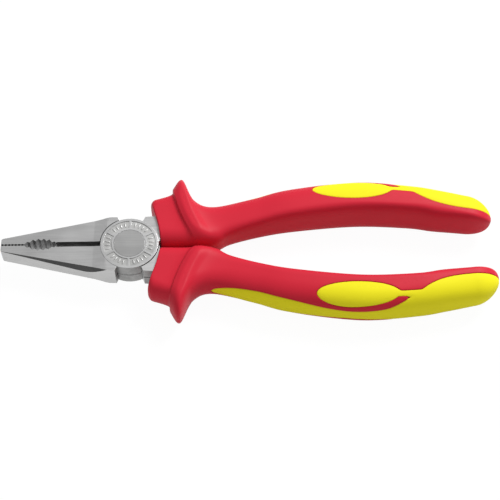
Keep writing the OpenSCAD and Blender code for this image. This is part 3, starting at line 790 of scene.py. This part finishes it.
# %% Distance of every skin point from the outline
tree_points = []
for loop in outline:
    run = outline_points[loop + loop[:1]]
    for a, b in zip(run[:-1], run[1:]):
        tree_points += [a + (b - a) * t for t in np.linspace(0, 1, 8, endpoint=False)]
nearest = KDTree(len(tree_points))
for k, spot in enumerate(tree_points):
    nearest.insert(spot, k)
nearest.balance()
seam_distance = np.array([nearest.find(p)[2] for p in skin_points]) * np.where(zone < 0, -1, 1)
steps = [np.diff(outline_points[loop + loop[:1]], axis=0) for loop in outline]
print("outline length in mm:", round(sum(np.linalg.norm(step, axis=1).sum() for step in steps), 1))

# %% Roll the cut edges and close both shots
ROLL_STEPS = 4
POCKET, POCKET_PLAY = 0.6, 0.15
DUST_WIDTH = 0.9


def rolled_piece(points, normals, value, shown, hidden, roll, depth):
    """Closed piece: shown faces, rolled edges, and hidden faces set down by depth."""
    points, normals = points.copy(), normals.copy()
    faces = shown.tolist()
    extra, seam = [], list(np.clip(1 - np.abs(value) / DUST_WIDTH, 0, 1))
    floor_of = {}
    for loop in edge_loops(shown):
        for _ in range(2):
            run = points[loop]
            points[loop] = run * 0.5 + (np.roll(run, 1, 0) + np.roll(run, -1, 0)) * 0.25
        run, up = points[loop], normals[loop]
        ahead = np.roll(run, -1, 0) - np.roll(run, 1, 0)
        out = np.cross(ahead, up)
        out = out + np.roll(out, 1, 0) + np.roll(out, -1, 0)
        out /= np.linalg.norm(out, axis=1, keepdims=True)
        rims = [list(loop)]
        for k in range(1, ROLL_STEPS + 1):
            angle = math.pi / 2 * k / ROLL_STEPS
            rims.append(list(range(len(points) + len(extra), len(points) + len(extra) + len(loop))))
            extra += list(run + out * roll * math.sin(angle) - up * roll * (1 - math.cos(angle)))
        rims.append(list(range(len(points) + len(extra), len(points) + len(extra) + len(loop))))
        extra += list(run - up * depth)
        floor_of.update(zip(loop, rims[-1]))
        for high, low in zip(rims[:-1], rims[1:]):
            for k in range(len(loop)):
                n = (k + 1) % len(loop)
                faces += [(high[n], high[k], low[k]), (high[n], low[k], low[n])]
    for corner in np.unique(hidden):
        if int(corner) not in floor_of:
            floor_of[int(corner)] = len(points) + len(extra)
            extra.append(points[corner] - normals[corner] * depth)
    faces += [tuple(floor_of[int(c)] for c in f) for f in hidden]
    seam += [1.0] * len(extra)
    everything = np.vstack((points, extra))
    used = np.unique(np.array(faces))
    renumber = np.full(len(everything), -1)
    renumber[used] = np.arange(len(used))
    return everything[used], renumber[np.array(faces)], np.array(seam)[used]


RED_ROLL, YELLOW_ROLL = 0.22, 0.30
ROLL_PLAY = 0.02
SOFT_SINK, SOFT_CROWN = 0.14, 1.0
cut = cut_skin(skin_points, skin_normals, seam_distance, skin_triangles, RED_ROLL + ROLL_PLAY)
red_shape = rolled_piece(*cut, RED_ROLL, POCKET)
crown = SOFT_SINK * np.exp(-np.abs(seam_distance) / SOFT_CROWN)[:, None]
soft_points = skin_points - skin_normals * np.where(seam_distance[:, None] < 0, crown, SOFT_SINK)
cut = cut_skin(soft_points, skin_normals, seam_distance, skin_triangles, -YELLOW_ROLL - ROLL_PLAY)
yellow_faces = cut[4]
yellow_shape = rolled_piece(*cut[:3], yellow_faces, yellow_faces[:, ::-1], YELLOW_ROLL, POCKET - POCKET_PLAY)
print("red triangles:", len(red_shape[1]), "yellow triangles:", len(yellow_shape[1]))


# %% Make both halves of the grips
CREASE_TURN = math.radians(50)


def half_turn(points):
    return points * np.array((1, -1, -1))


def add_piece(name, points, faces, material, seam=None):
    mesh = bpy.data.meshes.new(name)
    mesh.from_pydata(to_row(points), [], [tuple(map(int, face)) for face in faces])
    mesh.materials.append(material)
    if seam is not None:
        mesh.attributes.new("seam", "FLOAT", "POINT").data.foreach_set("value", seam)
    mesh.shade_smooth()
    mesh.set_sharp_from_angle(angle=CREASE_TURN)
    piece = bpy.data.objects.new(name, mesh)
    bpy.context.scene.collection.objects.link(piece)
    return piece


halves = (("upper", "front_half", np.copy), ("lower", "rear_half", half_turn))
for side, body, turn in halves:
    for shape, part, material, slot in ((red_shape, "grip", red_shell, "grip_red"),
                                        (yellow_shape, "inlay", yellow_soft, "inlay_yellow")):
        piece = add_piece(f"{side}_{part}_moulding", turn(shape[0]), shape[1], material, shape[2])
        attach(piece, body)
        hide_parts(f"{side}_{part}")
    lining = frame["nodes"][f"{side}_liner"].data
    lining.materials.clear()
    lining.materials.append(natural_liner)
print("grips and soft zones made for both halves")

# %% [markdown]
# ## Forged halves
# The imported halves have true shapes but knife-sharp edges, and real ground steel always has a small
# radius that catches light. A copy of each half is merged, flat faces are joined, and the edges are
# bevelled by group: broad on the outline and the joint disc, fine at the teeth.

# %% Sizes of the head, in millimetres from the rivet
disc_radius, disc_top = 10.5, 4.9
disc_room = 0.4
mouth_half = 3.2
jaw_tip, flat_teeth = -46.0, -38.6
relief_front, relief_back = -45.0, -9.0
ring_inner, ring_outer = 12.8 / 2, 19.0 / 2
ring_depth = 0.4
NEAR = 0.08
print("joint disc of", 2 * disc_radius, "mm, ring of", 2 * ring_inner, "to", 2 * ring_outer, "mm")

# %% Copies with broken edges
EDGE_ROUND, DISC_ROUND, RIM_ROUND, TOOTH_ROUND = 0.22, 0.40, 0.28, 0.07
ROUND_STEPS = 3
MERGE_DISTANCE = 0.002 * MM
SHORT_EDGE = 0.5 * MM
BROAD_FACE = 2 * MM * MM
JOIN_TURN, FLAT_TURN = math.radians(1), math.radians(1.2)
MIN_TURN, SHARP_TURN = math.radians(24), math.radians(33)


def bevel_width(edge, place):
    if len(edge.link_faces) != 2 or edge.calc_face_angle_signed() < MIN_TURN:
        return 0.0
    a, b = (place(v.co) for v in edge.verts)
    middle = (a + b) / 2
    radius = math.hypot(middle.x, middle.y)
    if middle.x > collar_start + 0.8:
        return 0.0
    if abs(radius - disc_radius) < NEAR and middle.z > disc_top - 0.1:
        return DISC_ROUND
    if abs(radius - disc_radius) < NEAR and abs(middle.z) < 0.1:
        return RIM_ROUND
    if middle.z > disc_top - 0.02 and min(abs(radius - r) for r in (ring_inner, ring_outer)) < NEAR:
        return TOOTH_ROUND
    if radius < disc_radius + disc_room:
        return 0.0
    if abs(middle.y) < mouth_half and middle.x < 0:
        return TOOTH_ROUND if middle.x < -disc_radius - 1 and edge.calc_length() > SHORT_EDGE else 0.0
    return EDGE_ROUND


def clean_copy(node):
    shape = bmesh.new()
    shape.from_mesh(frame["nodes"][node].data)
    bmesh.ops.remove_doubles(shape, verts=shape.verts, dist=MERGE_DISTANCE)
    bmesh.ops.dissolve_limit(shape, angle_limit=JOIN_TURN, verts=shape.verts[:], edges=shape.edges[:])
    return shape


def round_edges(shape, edges, width):
    bmesh.ops.bevel(shape, geom=edges, offset=width * MM, offset_type="OFFSET", segments=ROUND_STEPS,
                    profile=0.5, affect="EDGES", clamp_overlap=True, loop_slide=True)
    for face in shape.faces:
        face.smooth = True


def finished_mesh(shape, name, finishes):
    mesh = bpy.data.meshes.new(name)
    shape.to_mesh(mesh)
    shape.free()
    mesh.materials.clear()
    for material in finishes:
        mesh.materials.append(material)
    return mesh


print("largest edge radius in mm:", max(EDGE_ROUND, DISC_ROUND, RIM_ROUND, TOOTH_ROUND))

# %% [markdown]
# Each face of a half gets its finish from where it lies and which way it looks: the tops are ground
# bright and sunk places keep the die's dull skin. Darker steel is painted shade on the walls that face
# us and the disc walls in the notch, and near-black steel is painted shade on the relief and in the
# slit of the flat jaws.

# %% Finish of each face, and both halves
WALL_LEAN, TOP_LEAN = 0.3, 0.9


def finish_of(spot, normal):
    radius = math.hypot(spot.x, spot.y)
    lean = abs(normal.z)
    if ring_inner < radius < ring_outer and disc_top - ring_depth < spot.z < disc_top - 0.15:
        return ring_steel
    if jaw_tip < spot.x < -disc_radius and abs(spot.y) < mouth_half and lean < TOP_LEAN:
        # The slit of the flat jaws gets the near-black steel as painted shade.
        return die_steel if spot.x > flat_teeth else relief_steel
    # The relief chamfer that faces us: near-black die skin, also painted shade.
    if relief_front < spot.x < relief_back and 0.25 < lean < 0.75 and normal.y < -0.3:
        return relief_steel
    # The disc walls in the notch and the walls that face us get darker steel as painted shade.
    behind = spot.x > -disc_radius / 2
    if behind and lean < WALL_LEAN and radius > disc_radius - 0.1 and normal.dot(spot) > 0:
        return forged_steel
    if not behind and lean < WALL_LEAN and radius > disc_radius + 0.2 and normal.y < -0.5:
        return wall_steel
    return satin_steel


def forging(name, node, turned):
    def place(point):
        local = (point - pivot) / MM
        return Vector((local.x, -local.y, -local.z)) if turned else local

    shape = clean_copy(node)
    for width in (DISC_ROUND, EDGE_ROUND, RIM_ROUND, TOOTH_ROUND):
        edges = [e for e in shape.edges if bevel_width(e, place) == width]
        round_edges(shape, edges, width)
        print(name, "edges rounded by", width, "mm:", len(edges))
    for edge in shape.edges:
        if len(edge.link_faces) == 2:
            broad = min(face.calc_area() for face in edge.link_faces) > BROAD_FACE
            edge.smooth = edge.calc_face_angle() < (FLAT_TURN if broad else SHARP_TURN)
    mesh = finished_mesh(shape, name, steel_finishes)
    for face in mesh.polygons:
        spot = place(face.center)
        looking = place(face.center + face.normal * MM) - spot
        face.material_index = steel_finishes.index(finish_of(spot, looking))
    return mesh


def weigh_normals(mesh):
    holder = bpy.data.objects.new("weighing", mesh)
    bpy.context.scene.collection.objects.link(holder)
    weigh = holder.modifiers.new("weigh", "WEIGHTED_NORMAL")
    weigh.keep_sharp = True
    made = bpy.data.meshes.new_from_object(holder.evaluated_get(bpy.context.evaluated_depsgraph_get()))
    bpy.data.objects.remove(holder)
    return made


for name, node, body, turned in (("front_forging", "front_lever", "front_half", False),
                                 ("rear_forging", "rear_lever", "rear_half", True)):
    piece = bpy.data.objects.new(name, weigh_normals(forging(name, node, turned)))
    bpy.context.scene.collection.objects.link(piece)
    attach(piece, body)
    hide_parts(node)

# %% [markdown]
# The rivet is turned, pressed in and ground flush, so its heads end in a fine broken edge. It is
# copied and bevelled in the same way as the halves.


# %% Rivet
RIVET_ROUND = 0.12
RIM_TURN = math.radians(80)


def rivet_copy():
    shape = clean_copy("pivot_rivet")
    rims = [e for e in shape.edges if len(e.link_faces) == 2 and e.calc_face_angle_signed() > RIM_TURN]
    round_edges(shape, rims, RIVET_ROUND)
    for edge in shape.edges:
        edge.smooth = len(edge.link_faces) != 2 or edge.calc_face_angle() < SHARP_TURN
    print("rivet edges rounded:", len(rims))
    return finished_mesh(shape, "rivet_heads", [rivet_steel])


rivet = bpy.data.objects.new("rivet_heads", weigh_normals(rivet_copy()))
bpy.context.scene.collection.objects.link(rivet)
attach(rivet, "rear_half")
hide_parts("pivot_rivet")

# %% [markdown]
# ## Studs of the joint ring
# The sunk ring around the rivet carries small raised studs from the forging die, in groups of four.
# They repeat by a rule, so a Geometry Nodes tree places them: the number of a stud gives its angle.


# %% Geometry Nodes tree for the studs
def stud_tree():
    tree, given, out = open_group(
        "ring_studs", "GeometryNodeTree",
        [("Seat", "NodeSocketGeometry", None), ("Groups", "NodeSocketInt", 6),
         ("In a group", "NodeSocketInt", 4), ("Step", "NodeSocketFloat", 0.19),
         ("Radius", "NodeSocketFloat", 0.008), ("Height", "NodeSocketFloat", 0.0046),
         ("Middle", "NodeSocketVector", None), ("Stud size", "NodeSocketVector", None),
         ("Finish", "NodeSocketMaterial", None)],
        [("Studs", "NodeSocketGeometry")])
    count = calc(tree, "MULTIPLY", given["Groups"], given["In a group"])
    number = put(tree, "GeometryNodeInputIndex").outputs[0]
    group = calc(tree, "FLOOR", calc(tree, "DIVIDE", calc(tree, "ADD", number, 0.5), given["In a group"]))
    inside = calc(tree, "SUBTRACT", number, calc(tree, "MULTIPLY", group, given["In a group"]))
    middle = calc(tree, "DIVIDE", calc(tree, "SUBTRACT", given["In a group"], 1.0), 2.0)
    group_turn = calc(tree, "DIVIDE", calc(tree, "MULTIPLY", group, 2 * math.pi), given["Groups"])
    stud_turn = calc(tree, "MULTIPLY", calc(tree, "SUBTRACT", inside, middle), given["Step"])
    angle = calc(tree, "ADD", group_turn, stud_turn)
    spot = put(tree, "ShaderNodeCombineXYZ", {
        0: calc(tree, "MULTIPLY", given["Radius"], calc(tree, "COSINE", angle)),
        1: calc(tree, "MULTIPLY", given["Radius"], calc(tree, "SINE", angle)), 2: given["Height"]}).outputs[0]
    spots = put(tree, "GeometryNodePoints", {"Count": count,
                                             "Position": vector_calc(tree, "ADD", spot, given["Middle"])})
    ball = put(tree, "GeometryNodeMeshUVSphere", {"Segments": 16, "Rings": 10, "Radius": 1.0})
    turned = put(tree, "ShaderNodeCombineXYZ", {2: angle}).outputs[0]
    studs = put(tree, "GeometryNodeInstanceOnPoints", {
        "Points": spots.outputs[0], "Instance": ball.outputs[0],
        "Rotation": turned, "Scale": given["Stud size"]})
    plain = put(tree, "GeometryNodeRealizeInstances", {0: studs.outputs[0]})
    painted = put(tree, "GeometryNodeSetMaterial",
                  {"Geometry": plain.outputs[0], "Material": given["Finish"]})
    tree.links.new(painted.outputs[0], out.inputs["Studs"])
    return tree


# %% Studs of both halves
STUD_GROUPS, GROUP_STUDS = 6, 4
STUD_STEP = math.radians(11)
STUD_RADIUS, STUD_HEIGHT = 7.95 * MM, 4.66 * MM
STUD_SIZE = (1.0 * MM, 0.34 * MM, 0.22 * MM)
studs = run_tree("ring_studs", stud_tree(), bpy.data.meshes.new("stud_seat"), Groups=STUD_GROUPS,
                 In_a_group=GROUP_STUDS, Step=STUD_STEP, Radius=STUD_RADIUS, Height=STUD_HEIGHT,
                 Middle=(0.0, 0.0, 0.0), Stud_size=STUD_SIZE, Finish=stud_steel)
stud_points = read_points(studs) / MM
stud_faces = [list(face.vertices) for face in studs.polygons]
for _, body, turn in halves:
    piece = add_piece(body.replace("half", "ring_studs"), turn(stud_points), stud_faces, stud_steel)
    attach(piece, body)
print("studs on each half:", STUD_GROUPS * GROUP_STUDS)

# %% [markdown]
# ## Size
# The imported model's box is printed again. The dressed tool has to stay inside the imported
# model's box.

# %% Print the imported box
print("packed box:", cad_low, cad_high)
